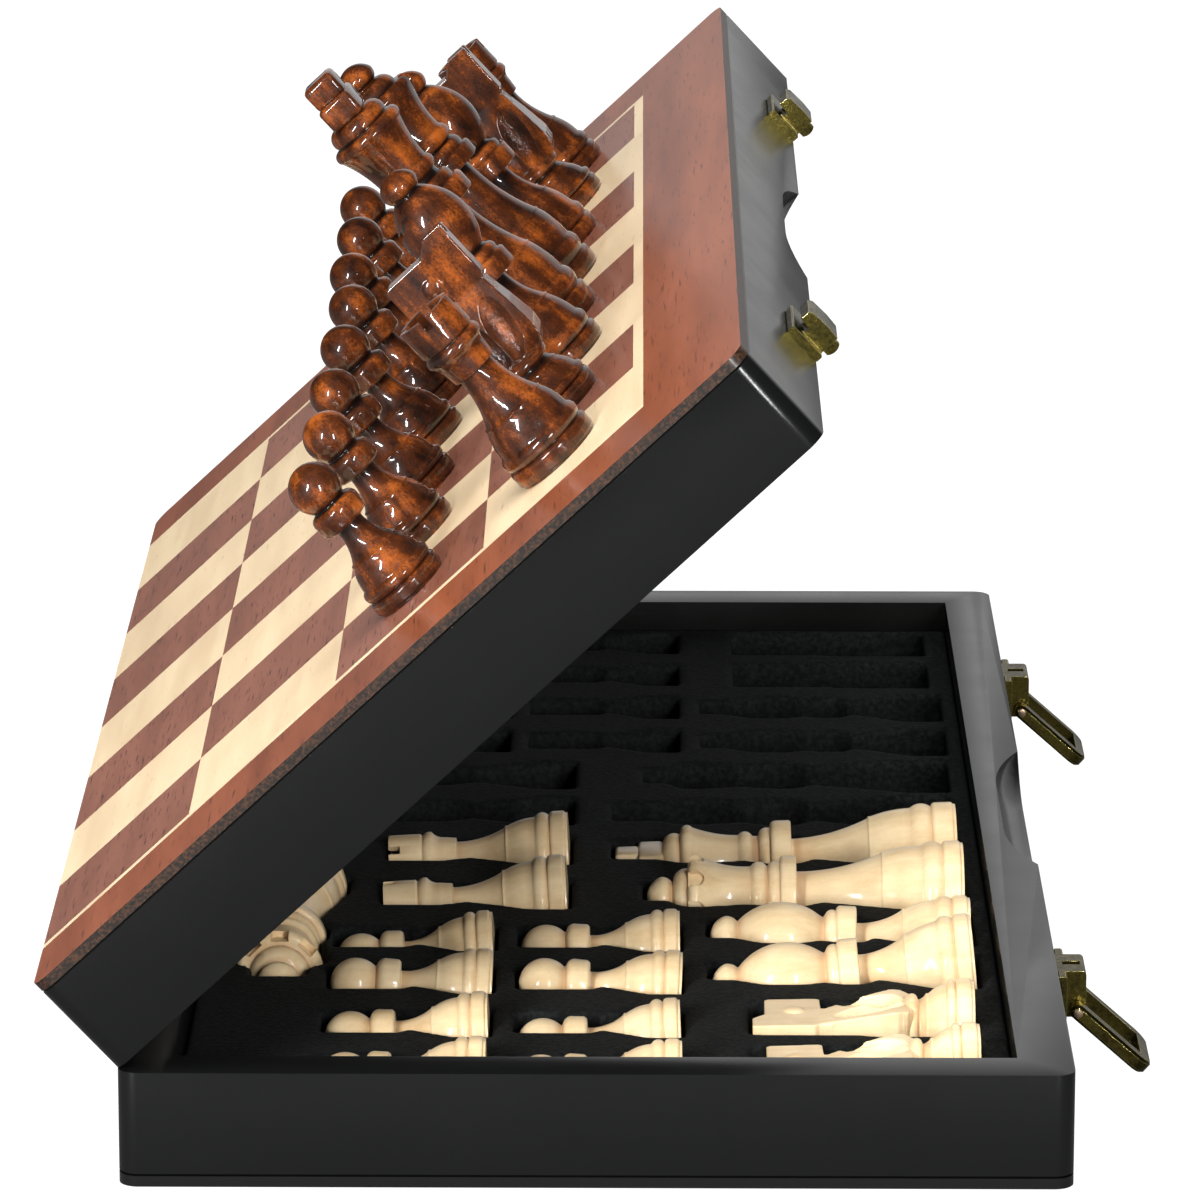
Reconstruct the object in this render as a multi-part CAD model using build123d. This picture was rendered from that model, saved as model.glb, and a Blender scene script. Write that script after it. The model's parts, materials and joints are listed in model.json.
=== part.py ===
"""A folding magnetic chess box: two hinged trays whose outer faces make the board.

Frame: millimetres, +Z up. The origin is the middle of the base tray's flat underside.
X runs from the hinge side (-) to the latch side (+), Y from the near end (-) to the far end (+).
The lid is drawn open at LID_OPEN, with the dark army standing on it and the light army in the foam.
"""
from build123d import *
import os
from math import atan2, cos, sin

# ---- the box ----
BOX_W = 190.5          # hinge side to latch side
BOX_D = 381.0          # near end to far end
HALF_H = 23.8          # each tray, with its board panel
GAP = 0.2              # between the closed trays
RAIL = 11.2            # thickness of the tray walls
PANEL = 2.2            # thickness of the board panel
CORNER_R = 4.0
SQUARE = 40.5
BORDER = (BOX_D - 8 * SQUARE) / 2
STRING = 2.8           # width of the pale line round the squares
INLAY = 0.6            # depth of the inlaid squares and line
EDGE = 0.5             # chamfer on the rails' outer edges
LID_OPEN = 43.0        # degrees

HINGE_X = -BOX_W / 2 - GAP / 2
HINGE_Z = HALF_H + GAP / 2
INNER_X = BOX_W / 2 - RAIL
INNER_Y = BOX_D / 2 - RAIL

# ---- foam ----
FOAM_TOP = 16.9
FIT = 0.15             # between the foam and the rails
LID_PAD = 12.0         # thickness of the pad in the lid

# ---- finger scoop ----
SCOOP_R = 6.2
SCOOP_FLAT = 18.0      # half of the straight stretch
SCOOP_HALF = 45.0

# ---- hinges ----
HINGE_YS = (-120.0, 120.0)
KNUCKLE_L = 10.0
KNUCKLE_R = 2.2
KNUCKLE_ROOM = 0.3
PIN_R = 0.9
PIN_BORE_R = 0.95
PIN_HEAD_R = 1.6
PIN_HEAD_L = 0.6
LEAF_T = 1.0
LEAF_W = 9.0           # from the wall's outer face inwards
LEAF_ROOM = 0.15
SCREW_R = 1.1
SCREW_HEAD_R = 2.2
SCREW_L = 7.0

# ---- latches ----
LATCH_YS = (-116.0, 116.0)
WALL = BOX_W / 2
FLANGE_T = 1.8
FLANGE_W = 20.0
BLOCK_W = 12.0
BLOCK_OUT = 6.0        # from the wall to the block's outer face
BLOCK_LOW = 13.9
LATCH_PIN_X = WALL + 4.2
LATCH_PIN_Z = 15.9
LATCH_PIN_R = 1.0
LATCH_BORE_R = 1.05
LOOP_W = 19.6
LOOP_GAP = 12.7        # between the loop's arms
LOOP_L = 19.6          # pin to tip
LOOP_BAR = 3.2
LOOP_DROP = 41.5       # degrees below level, where the loop rests on its stop
SLIT_W = 2.2
SLIT_DEEP = 3.4
TONGUE_W = 1.6
TONGUE_R = 2.7
CATCH_H = 8.0

# ---- chess pieces ----
AXIS_Z = 14.4          # height of a lying piece's axis at its foot
ROW = 29.4             # between rows of pockets
NEAR_ROW = -161.7      # the row nearest the near end
FAR_ROW = 166.2        # the row nearest the far end
FOOT_X = 79.0          # feet of the latch-side column
KNIGHT_FOOT_X = 77.4
PAWN_FEET = (17.2, -22.4)
ROOK_FOOT_X = -7.0
SPARE_X = -67.5
SPARE_FOOT_Y = -34.0
MAIN_U = 3.5 * SQUARE  # from the hinge to the main pieces' file
PAWN_U = 2.5 * SQUARE


def turned(outline):
    """A solid turned about Z. A point is (radius, height), or has a point on its arc after it."""
    start = (0, 0)
    edges = []
    for point in outline:
        end = point[:2]
        if len(point) == 4:
            edges.append(ThreePointArc(start, point[2:], end))
        else:
            edges.append(Line(start, end))
        start = end
    edges.append(Line(start, (0, 0)))
    face = Plane.XZ * make_face(Wire(edges))
    return revolve(face, Axis.Z, 360)


def cap(r, h, top):
    """The last stretch of an outline: a dome from (r, h) to the axis at a height."""
    centre = (top**2 - h**2 - r**2) / (2 * (top - h))
    half = atan2(r, h - centre) / 2
    radius = top - centre
    return (0, top, radius * sin(half), centre + radius * cos(half))


def foot(radius, disc, shoulder_r, shoulder_h, stem_r, stem_h):
    """The foot that every piece shares: disc, round ring, sloping body, shoulder and waist."""
    ring_top = disc + 0.34 * (shoulder_h - disc)
    body_r = (0.42 * radius + 0.58 * shoulder_r, (ring_top + shoulder_h) / 2 - 0.3)
    waist = (0.3 * shoulder_r + 0.7 * stem_r, 0.55 * shoulder_h + 0.45 * stem_h)
    return [
        (radius - 0.4, 0),
        (radius, 0.4),
        (radius, disc - 0.7),
        (radius - 0.7, disc, radius - 0.2, disc - 0.2),
        (radius - 1.1, ring_top, radius - 0.15, (disc + ring_top) / 2),
        (shoulder_r - 0.1, shoulder_h - 0.5, *body_r),
        (shoulder_r, shoulder_h),
        (shoulder_r - 0.5, shoulder_h + 0.2),
        (stem_r, stem_h, *waist),
    ]


ROOK_L = 40.0

KING = foot(12.1, 5.3, 9.5, 19.4, 5.0, 35.9) + [
    (5.0, 36.6),
    (8.9, 36.6),
    (9.2, 37.0),
    (9.2, 40.0),
    (7.6, 41.3, 8.9, 40.9),
    (7.0, 43.6, 7.7, 42.4),
    (5.9, 44.0),
    (5.9, 45.2),
    (6.2, 48.4, 7.0, 46.8),
    (8.3, 58.6, 6.8, 53.6),
    (7.4, 61.2, 8.8, 60.1),
    (7.0, 61.5),
    (4.0, 65.2, 6.5, 64.2),
    (0, 65.4),
]
QUEEN = foot(12.0, 4.4, 9.8, 17.7, 5.5, 34.5) + [
    (5.5, 36.3),
    (8.8, 36.3),
    (9.0, 36.6),
    (9.0, 38.9),
    (7.8, 39.9, 8.8, 39.6),
    (7.2, 42.3, 7.9, 41.1),
    (7.0, 42.6),
    (6.7, 46.2, 7.7, 44.4),
    (9.0, 57.4, 7.2, 52.4),
    (8.2, 59.8, 9.2, 58.8),
    (6.4, 59.9),
    (3.2, 63.2, 5.6, 62.2),
    (4.5, 65.8, 4.2, 64.3),
    cap(4.5, 65.8, 68.9),
]
BISHOP = foot(10.6, 3.7, 7.4, 14.3, 3.9, 22.8) + [
    (3.9, 24.2),
    (7.3, 24.2),
    (7.5, 24.5),
    (7.5, 27.3),
    (6.4, 28.5, 7.3, 28.2),
    (5.6, 30.8, 6.6, 29.6),
    (5.0, 31.2),
    (5.3, 32.0),
    (3.4, 49.6, 7.9, 40.4),
    (4.5, 52.2, 4.2, 50.6),
    cap(4.5, 52.2, 55.4),
]
ROOK = foot(9.9, 4.0, 7.3, 13.9, 4.2, 23.2) + [
    (4.2, 24.9),
    (5.1, 24.9),
    (5.4, 27.6),
    (6.7, 30.4, 5.8, 29.4),
    (6.3, 32.2, 6.7, 31.5),
    (6.1, 32.5),
    (6.4, 32.9),
    (6.4, 40.0),
    (4.6, 40.0),
    (4.6, 36.8),
    (0, 36.8),
]
PAWN = foot(8.6, 3.4, 5.9, 11.6, 3.1, 17.6) + [
    (3.1, 19.2),
    (5.0, 19.2),
    (5.5, 19.8),
    (5.6, 22.0),
    (4.4, 24.2, 5.4, 23.4),
    (4.0, 24.6),
    cap(4.0, 24.6, 34.0),
]
KNIGHT_FOOT = foot(10.3, 3.7, 7.2, 9.8, 5.8, 11.4) + [
    (6.7, 11.8),
    (6.7, 13.6, 7.1, 12.7),
    (6.2, 14.2),
    (0, 14.2),
]


def king():
    """The turned king with its cross, whose broad faces look along X."""
    arms = Pos(0, 0, 67.9) * Box(8.2, 12.0, 5.6)
    top = Pos(0, 0, 73.6) * Box(7.2, 7.4, 4.8)
    neck = Pos(0, 0, 71.0) * Box(5.6, 5.4, 1.6)
    cross = chamfer(arms.edges() | Axis.Z, 0.7) + neck + chamfer(top.edges() | Axis.Z, 0.7)
    return turned(KING) + cross


def queen():
    """The turned queen, with eight round notches cut in the coronet's lip."""
    body = turned(QUEEN)
    notch = Pos(10.6, 0, 61.4) * Rot(0, 90, 0) * Cylinder(2.6, 5.0)
    for i in range(8):
        body -= Rot(0, 0, 45 * i) * notch
    return body


def bishop():
    """The turned bishop, with the slanting cut in its mitre."""
    cut = Pos(-5.6, 0, 44.6) * Rot(0, -38, 0) * Box(9.0, 20.0, 0.9)
    return turned(BISHOP) - cut


def rook():
    """The turned rook, with four slots through its battlement."""
    slot = Pos(0, 0, ROOK_L) * Box(20.0, 1.9, 5.2)
    return turned(ROOK) - slot - Rot(0, 0, 90) * slot


def pawn():
    return turned(PAWN)


def knight():
    """A turned foot with a flat horse's head, which looks along -X."""
    side = Polyline(
        (-5.4, 13.0), (-7.0, 16.6), (-6.4, 20.0), (-1.9, 30.8), (-3.0, 31.5), (-8.8, 31.6),
        (-9.4, 32.4), (-9.3, 42.4), (-8.7, 43.0), (0.6, 43.0), (3.4, 45.6), (8.6, 45.6),
        (8.6, 32.6), (7.8, 31.6), (9.3, 18.6), (8.4, 15.2), (6.4, 13.0), close=True,
    )
    front = Polyline(
        (-5.6, 13.0), (-6.1, 17.0), (-3.2, 32.5), (-2.9, 46.0),
        (2.9, 46.0), (3.2, 32.5), (6.1, 17.0), (5.6, 13.0), close=True,
    )
    head = extrude(Plane.XZ * make_face(side), 8, both=True)
    head &= extrude(Plane.YZ * make_face(front), 12, both=True)
    ears = Pos(6.4, 0, 45.4) * Box(6.4, 1.8, 4.6)
    return turned(KNIGHT_FOOT) + (head - ears)


def closed_to_open(shape):
    """Swing a part of the closed lid up to where it stands open."""
    return shape.rotate(Axis((HINGE_X, 0, HINGE_Z), (0, 1, 0)), -LID_OPEN)


def on_lid(piece, u, y):
    """Stand a piece on the lid's board, u from the hinge side."""
    top = HALF_H + GAP + HALF_H
    return closed_to_open(Pos(-BOX_W / 2 + u, y, top) * piece)


def lying(piece, x, y, rise, droop, turn=180, heading=180):
    """Lay a piece in the foam with its foot at x, y and its head towards the heading."""
    tilt = Rot(0, 0, heading) * Rot(0, 90 + droop, 0)
    return Pos(x, y, AXIS_Z + rise) * tilt * Rot(0, 0, turn) * piece


def rounded_tray(height):
    return extrude(RectangleRounded(BOX_W, BOX_D, CORNER_R), height)


def finger_scoop():
    """A long shallow hollow along the mating line in the middle of the latch side."""
    end = Line((-SCOOP_HALF, 0), (SCOOP_HALF, 0))
    rise = SCOOP_HALF - SCOOP_FLAT
    radius = (rise**2 + SCOOP_R**2) / (2 * SCOOP_R)
    mid = (SCOOP_FLAT + rise / 2, SCOOP_R - radius + (radius**2 - (rise / 2) ** 2) ** 0.5)
    near = ThreePointArc((-SCOOP_HALF, 0), (-mid[0], mid[1]), (-SCOOP_FLAT, SCOOP_R))
    flat = Line((-SCOOP_FLAT, SCOOP_R), (SCOOP_FLAT, SCOOP_R))
    far = ThreePointArc((SCOOP_FLAT, SCOOP_R), mid, (SCOOP_HALF, 0))
    face = make_face(Wire([near, flat, far, end]))
    solid = revolve(face, Axis.X, 360)
    return Pos(WALL, 0, HINGE_Z) * Rot(0, 0, 90) * solid


def knuckle_room(y):
    """The groove that both hinge rails share round a barrel."""
    radius = KNUCKLE_R + KNUCKLE_ROOM
    length = 3 * KNUCKLE_L + 2 * PIN_HEAD_L + 1.0
    return Pos(HINGE_X, y, HINGE_Z) * Rot(90, 0, 0) * Cylinder(radius, length)


def leaf_room(y, deep):
    """The shallow bed of a hinge leaf, cut from a mating face down to a depth."""
    width = LEAF_W + LEAF_ROOM + 2.0
    bed = Box(width, 3 * KNUCKLE_L + 2 * LEAF_ROOM, 2 * deep)
    return Pos(-BOX_W / 2 + LEAF_W + LEAF_ROOM - width / 2, y, HALF_H) * bed


def screw_places(y):
    return [(-BOX_W / 2 + 5.6, y - 10), (-BOX_W / 2 + 5.6, y + 10)]


def tray_rails():
    """The four walls of one tray, drawn as the base: hinge rail, latch rail and both end rails."""
    height = HALF_H - PANEL
    ring = Pos(0, 0, PANEL) * rounded_tray(height)
    ring -= Pos(0, 0, PANEL + height / 2) * Box(2 * INNER_X, 2 * INNER_Y, height + 2)
    low_edges = ring.edges().filter_by(lambda e: abs(e.center().Z - PANEL) < 0.01)
    outer = low_edges.filter_by(
        lambda e: abs(e.center().X) > INNER_X + 1 or abs(e.center().Y) > INNER_Y + 1
    )
    ring = chamfer(outer, EDGE)
    ring -= finger_scoop()
    for y in HINGE_YS:
        ring -= knuckle_room(y)
        ring -= leaf_room(y, LEAF_T)
        for x, screw_y in screw_places(y):
            ring -= Pos(x, screw_y, HALF_H - LEAF_T) * screw_hole()
    end_block = Box(2 * INNER_X, RAIL * 2, 4 * HALF_H)
    near_end = Pos(0, -INNER_Y - RAIL, 0) * end_block
    far_end = Pos(0, INNER_Y + RAIL, 0) * end_block
    ends = [ring & near_end, ring & far_end]
    sides = ring - near_end - far_end
    hinge_side = sides & (Pos(-BOX_W / 2, 0, 0) * Box(2 * RAIL, 2 * BOX_D, 4 * HALF_H))
    latch_side = sides & (Pos(BOX_W / 2, 0, 0) * Box(2 * RAIL, 2 * BOX_D, 4 * HALF_H))
    return hinge_side, latch_side, ends


def screw_hole():
    return Pos(0, 0, -SCREW_L / 2 + LEAF_T / 2) * Cylinder(SCREW_R, SCREW_L + LEAF_T)


def board_cells(dark):
    """The squares of one colour on half a board, four files by eight ranks, as thin tiles."""
    tiles = []
    for file in range(4):
        for rank in range(8):
            if (file + rank) % 2 == dark:
                x = -BOX_W / 2 + (file + 0.5) * SQUARE
                y = -BOX_D / 2 + BORDER + (rank + 0.5) * SQUARE
                tiles.append(Pos(x, y, INLAY / 2) * Box(SQUARE, SQUARE, INLAY))
    return tiles


def string_line():
    """The pale line round the squares, on the three sides away from the hinge."""
    across = 4 * SQUARE + STRING
    along = 8 * SQUARE
    end_x = -BOX_W / 2 + across / 2
    end_y = along / 2 + STRING / 2
    side_x = -BOX_W / 2 + 4 * SQUARE + STRING / 2
    return [
        Pos(end_x, -end_y, INLAY / 2) * Box(across, STRING, INLAY),
        Pos(end_x, end_y, INLAY / 2) * Box(across, STRING, INLAY),
        Pos(side_x, 0, INLAY / 2) * Box(STRING, along, INLAY),
    ]


def board_panel():
    """The board panel, with a shallow bed in its outer face for the inlay."""
    across = 4 * SQUARE + STRING
    along = 8 * SQUARE + 2 * STRING
    bed = Pos(-BOX_W / 2 + across / 2, 0, INLAY / 2) * Box(across, along, INLAY)
    return rounded_tray(PANEL) - bed


def half_to_lid(shape):
    """Turn a part drawn for the base over, so that it belongs to the closed lid."""
    return shape.mirror(Plane.XY.offset(HINGE_Z))


def hinge_half(y, base):
    """One leaf with its knuckles: the base's has two, the lid's has the middle one."""
    inner = -BOX_W / 2 + LEAF_W
    outer = HINGE_X + KNUCKLE_R + KNUCKLE_ROOM + 0.1
    leaf = Pos((inner + outer) / 2, y, HALF_H - LEAF_T / 2) * Box(inner - outer, 3 * KNUCKLE_L, LEAF_T)
    places = (-KNUCKLE_L, KNUCKLE_L) if base else (0,)
    for offset in places:
        length = KNUCKLE_L - 0.3
        barrel = Pos(HINGE_X, y + offset, HINGE_Z) * Rot(90, 0, 0) * Cylinder(KNUCKLE_R, length)
        tongue_end = outer + 0.5
        tongue = Pos((HINGE_X + tongue_end) / 2, y + offset, HALF_H - LEAF_T / 2)
        leaf += tongue * Box(tongue_end - HINGE_X, length, LEAF_T)
        leaf += barrel
    leaf -= Pos(HINGE_X, y, HINGE_Z) * Rot(90, 0, 0) * Cylinder(PIN_BORE_R, 4 * KNUCKLE_L)
    for x, screw_y in screw_places(y):
        hole = Pos(x, screw_y, HALF_H - LEAF_T / 2) * Cylinder(SCREW_R, 2 * LEAF_T)
        leaf -= hole
        leaf -= Pos(x, screw_y, HALF_H - LEAF_T / 2) * screw_cone()
    return leaf


def screw_cone():
    return Cone(SCREW_R, SCREW_HEAD_R, LEAF_T)


def hinge_screw(x, y):
    """A countersunk wood screw, its head flush in the leaf."""
    shank_l = SCREW_L - LEAF_T
    screw = Pos(0, 0, -LEAF_T - shank_l / 2) * Cylinder(SCREW_R, shank_l)
    screw += Pos(0, 0, -LEAF_T / 2) * screw_cone()
    screw -= Box(2 * SCREW_HEAD_R, 0.5, 0.7)
    return Pos(x, y, HALF_H) * screw


def hinge_pin(y):
    """A pin with a rounded-over head at each end of its barrel."""
    length = 3 * KNUCKLE_L - 0.3
    pin = Cylinder(PIN_R, length + PIN_HEAD_L)
    for side in (-1, 1):
        pin += Pos(0, 0, side * (length + PIN_HEAD_L) / 2) * Cylinder(PIN_HEAD_R, PIN_HEAD_L)
    return Pos(HINGE_X, y, HINGE_Z) * Rot(90, 0, 0) * pin


def latch_block(y):
    """The base's half of a latch: a flange on the wall and a block with a slit in its top."""
    flange_h = HALF_H - BLOCK_LOW
    mid_z = (HALF_H + BLOCK_LOW) / 2
    part = Pos(WALL + FLANGE_T / 2, y, mid_z) * Box(FLANGE_T, FLANGE_W, flange_h)
    part = chamfer(part.edges() | Axis.Y, 0.3)
    block = Pos(WALL + BLOCK_OUT / 2, y, mid_z) * Box(BLOCK_OUT, BLOCK_W, flange_h)
    outer_low = (block.edges() | Axis.Y).sort_by(lambda e: e.center().Z - e.center().X)[0]
    block = fillet(outer_low, 1.7)
    outer_top = (block.edges() | Axis.Y).sort_by(lambda e: -e.center().Z - e.center().X)[0]
    block = fillet(outer_top, 0.9)
    part += block
    part -= Pos(WALL + 1.2 + 3.8 / 2, y, HALF_H) * Box(3.8, SLIT_W, 2 * SLIT_DEEP)
    part -= Pos(LATCH_PIN_X, y, LATCH_PIN_Z) * Rot(90, 0, 0) * Cylinder(LATCH_PIN_R, 2 * FLANGE_W)
    return part


def latch_loop(y):
    """The swinging loop, drawn pointing along +X from its pin and then lowered to its stop."""
    reach = LOOP_L - LOOP_BAR / 2
    outline = Rectangle(reach + LOOP_BAR, LOOP_W)
    plate = extrude(Pos((reach + LOOP_BAR) / 2 - LOOP_BAR / 2, 0) * outline, LOOP_BAR / 2, both=True)
    tips = (plate.edges() | Axis.Z).sort_by(Axis.X)[-2:]
    plate = fillet(tips, 4.0)
    slot_l = LOOP_L - LOOP_BAR
    plate -= Pos(slot_l / 2 - 5, 0, 0) * Box(slot_l + 10, LOOP_GAP, 2 * LOOP_BAR)
    heels = plate.edges().filter_by(lambda e: e.center().X < -LOOP_BAR / 2 + 0.01) | Axis.Y
    plate = fillet(heels, LOOP_BAR / 2 - 0.05)
    rims = plate.edges().filter_by(lambda e: e.center().X > LOOP_L - 6)
    rims = rims.filter_by(lambda e: abs(abs(e.center().Z) - LOOP_BAR / 2) < 0.01)
    rims = rims.filter_by(lambda e: e.center().X > LOOP_L - 2)
    plate = chamfer(rims, 0.6)
    plate -= Rot(90, 0, 0) * Cylinder(LATCH_BORE_R, 2 * LOOP_W)
    return Pos(LATCH_PIN_X, y, LATCH_PIN_Z) * Rot(0, LOOP_DROP, 0) * plate


def latch_pin(y):
    return Pos(LATCH_PIN_X, y, LATCH_PIN_Z) * Rot(90, 0, 0) * Cylinder(LATCH_PIN_R, LOOP_W + 0.6)


def catch_outline():
    """The catch seen from its end: a block with a groove under an outer lip. Points are (out, up)."""
    return Polyline(
        (0, 0), (BLOCK_OUT, 0), (BLOCK_OUT + 0.2, 3.0), (BLOCK_OUT, CATCH_H - 0.9),
        (BLOCK_OUT - 0.6, CATCH_H), (3.3, CATCH_H), (3.1, 5.4), (1.9, 5.4), (FLANGE_T, 6.4), (0, 6.4),
        close=True,
    )


def lid_catch(y):
    """The lid's half of a latch, drawn for the closed lid."""
    base_z = HALF_H + GAP
    block = extrude(Plane.XZ * make_face(catch_outline()), BLOCK_W / 2, both=True)
    flange_h = 8.8
    flange = Pos(FLANGE_T / 2, 0, flange_h / 2) * Box(FLANGE_T, FLANGE_W, flange_h)
    flange = chamfer(flange.edges() | Axis.Y, 0.3)
    tongue = Pos(3.1, 0, 0) * Rot(90, 0, 0) * Cylinder(TONGUE_R, TONGUE_W)
    tongue &= Pos(3.1, 0, -TONGUE_R / 2 + 0.5) * Box(3.4, TONGUE_W, TONGUE_R + 1)
    part = block + flange + tongue
    part -= Pos(2.5, 0, 5.4) * Cylinder(0.55, 3.0)
    return Pos(WALL, y, base_z) * part


def catch_rivet(y):
    """The bright rivet in the groove of a catch."""
    rivet = Pos(0, 0, 0.35) * Cone(0.54, 0.42, 0.7) + Pos(0, 0, -0.7) * Cylinder(0.55, 1.4)
    return Pos(WALL + 2.5, y, HALF_H + GAP + 5.4) * rivet


def pocket(half, depth):
    """Room for a lying piece: straight walls that follow its outline, down to a flat floor."""
    mirrored = half + [(-r, h) for r, h in reversed(half)]
    outline = make_face(Polyline(*[(r, h) for r, h in mirrored], close=True))
    return Pos(0, 0, -depth) * extrude(outline, depth + 2 * FOAM_TOP)


KING_ROOM = [(12.9, -0.8), (12.9, 9.5), (10.2, 18.5), (6.0, 32.0), (10.0, 35.8), (10.0, 41.8),
             (7.6, 47.0), (9.5, 56.5), (9.5, 61.0), (7.0, 66.0), (7.0, 76.8)]
QUEEN_ROOM = [(12.8, -0.8), (12.8, 8.8), (10.4, 17.0), (6.4, 31.0), (9.8, 35.5), (9.8, 40.2),
              (8.2, 47.0), (10.0, 56.0), (10.0, 60.6), (5.6, 64.0), (5.6, 69.8)]
BISHOP_ROOM = [(11.4, -1.4), (11.4, 7.5), (8.0, 14.0), (4.8, 20.5), (8.3, 23.4), (8.3, 28.0),
               (6.8, 31.5), (8.8, 36.5), (8.8, 44.0), (5.4, 50.0), (5.4, 56.3)]
ROOK_ROOM = [(10.7, -0.8), (10.7, 7.8), (7.9, 14.0), (5.0, 22.0), (7.5, 28.0), (7.5, 40.8)]
PAWN_ROOM = [(9.4, -0.8), (9.4, 6.6), (6.4, 12.0), (4.0, 16.6), (6.4, 19.0), (6.4, 34.8)]
KNIGHT_ROOM = [(11.1, -0.8), (11.1, 20.0), (10.3, 24.0), (10.3, 46.4)]

ROOMS = {"king": KING_ROOM, "queen": QUEEN_ROOM, "bishop": BISHOP_ROOM,
         "knight": KNIGHT_ROOM, "rook": ROOK_ROOM, "pawn": PAWN_ROOM}
MAKERS = {"king": king, "queen": queen, "bishop": bishop,
          "knight": knight, "rook": rook, "pawn": pawn}
# How each light piece has settled: shift along the box, rise of its foot, droop of its head.
SETTLED = {
    "king": (4.0, 1.0, 2.1),
    "queen": (1.0, 1.7, 0.6),
    "spare_queen": (0.0, 0.0, 0.6),
    "bishop_1": (3.0, 4.3, 5.6),
    "bishop_2": (3.0, -1.1, -1.8),
    "knight_1": (0.0, 0.5, 0.6),
    "knight_2": (0.0, 0.3, -0.3),
    "rook_1": (-0.8, 1.2, 4.1),
    "rook_2": (3.2, 1.3, 3.4),
    "pawn_1": (-3.0, -0.5, 0.4),
    "pawn_2": (-3.0, 0.0, 0.6),
    "pawn_3": (-3.0, -1.2, 2.6),
    "pawn_4": (-3.0, 0.1, 2.4),
    "pawn_5": (-3.0, -0.4, -2.9),
    "pawn_6": (-3.0, -0.1, -2.3),
    "pawn_7": (-3.0, -0.2, 0.8),
    "pawn_8": (-3.0, -0.5, 4.3),
}
TURNED = {"knight_1": 90, "knight_2": 90, "rook_2": 225}

# How far each dark piece stands off the middle of its square, away from the hinge.
OFF_MIDDLE = {"king": -2.5, "queen": -2.5, "bishop_1": 1.0, "bishop_2": -1.4, "pawn_2": 1.5,
              "pawn_3": 1.0, "pawn_4": 1.8, "pawn_5": 2.0, "pawn_8": -1.2}


def settled(kind, number):
    return SETTLED[f"{kind}_{number}" if number else kind]


def stored_places(near):
    """Where one army lies, in the near or the far half: (kind, number, x, y, heading)."""
    rows = [NEAR_ROW + ROW * i if near else FAR_ROW - ROW * i for i in range(6)]
    places = []
    column = [("knight", 1), ("knight", 2), ("bishop", 1), ("bishop", 2), ("queen", 0), ("king", 0)]
    for row, (kind, number) in enumerate(column):
        x = KNIGHT_FOOT_X if kind == "knight" else FOOT_X
        places.append((kind, number, x, rows[row], 180))
    for row in (4, 5):
        places.append(("rook", row - 3, ROOK_FOOT_X, rows[row], 180))
    for row in range(4):
        for j, x in enumerate(PAWN_FEET):
            places.append(("pawn", 2 * row + j + 1, x, rows[row], 180))
    end = -1 if near else 1
    places.append(("spare_queen", 0, SPARE_X, -end * SPARE_FOOT_Y, 90 * end))
    if near:
        places = [(k, n, x, y + settled(k, n)[0], heading) for k, n, x, y, heading in places]
    return places


def piece_name(colour, kind, number):
    return f"{colour}_{kind}_{number}" if number else f"{colour}_{kind}"


def lid_places():
    """Where the dark army stands: (kind, number, u, y)."""
    main = [("rook", 1), ("knight", 1), ("bishop", 1), ("king", 0),
            ("queen", 0), ("bishop", 2), ("knight", 2), ("rook", 2)]
    places = []
    for rank, (kind, number) in enumerate(main):
        y = (rank - 3.5) * SQUARE
        off = OFF_MIDDLE.get(f"{kind}_{number}" if number else kind, 0)
        places.append((kind, number, MAIN_U + off, y))
        places.append(("pawn", rank + 1, PAWN_U + OFF_MIDDLE.get(f"pawn_{rank + 1}", 0), y))
    return places


def foam_insert():
    """The base's foam, with a pocket for each piece of both armies."""
    thick = FOAM_TOP - PANEL
    foam = Pos(0, 0, PANEL + thick / 2) * Box(2 * (INNER_X - FIT), 2 * (INNER_Y - FIT), thick)
    for near in (True, False):
        for kind, number, x, y, heading in stored_places(near):
            half = ROOMS[kind.replace("spare_", "")]
            sunk = min(0, settled(kind, number)[1]) if near else 0
            tool = pocket(half, half[0][0] - sunk)
            foam -= Pos(x, y, AXIS_Z) * Rot(0, 0, heading - 90) * tool
    return foam


def lid_pad():
    """The soft pad glued inside the lid, drawn for the closed lid."""
    size = Box(2 * (INNER_X - FIT), 2 * (INNER_Y - FIT), LID_PAD)
    return Pos(0, 0, 2 * HINGE_Z - PANEL - LID_PAD / 2) * size


def save(shape, name):
    """Write one node; a list becomes one node of separate solids."""
    shapes = shape if isinstance(shape, list) else [shape]
    solids = [solid for s in shapes for solid in s.solids()]
    export_step(Compound(solids) if len(solids) > 1 else solids[0], f"parts/{name}.step")


def save_base():
    hinge_side, latch_side, ends = tray_rails()
    save(hinge_side, "base_hinge_rail")
    save(latch_side, "base_latch_rail")
    save(ends, "base_end_rails")
    save(board_panel(), "base_board_panel")
    save(board_cells(dark=0) + string_line(), "base_maple_inlay")
    save(board_cells(dark=1), "base_dark_squares")
    save(foam_insert(), "base_foam_insert")
    lid = {
        "lid_hinge_rail": [hinge_side],
        "lid_latch_rail": [latch_side],
        "lid_end_rails": ends,
        "lid_board_panel": [board_panel()],
        "lid_maple_inlay": board_cells(dark=1) + string_line(),
        "lid_dark_squares": board_cells(dark=0),
    }
    for name, shapes in lid.items():
        save([closed_to_open(half_to_lid(s)) for s in shapes], name)
    save(closed_to_open(lid_pad()), "lid_foam_pad")


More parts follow.
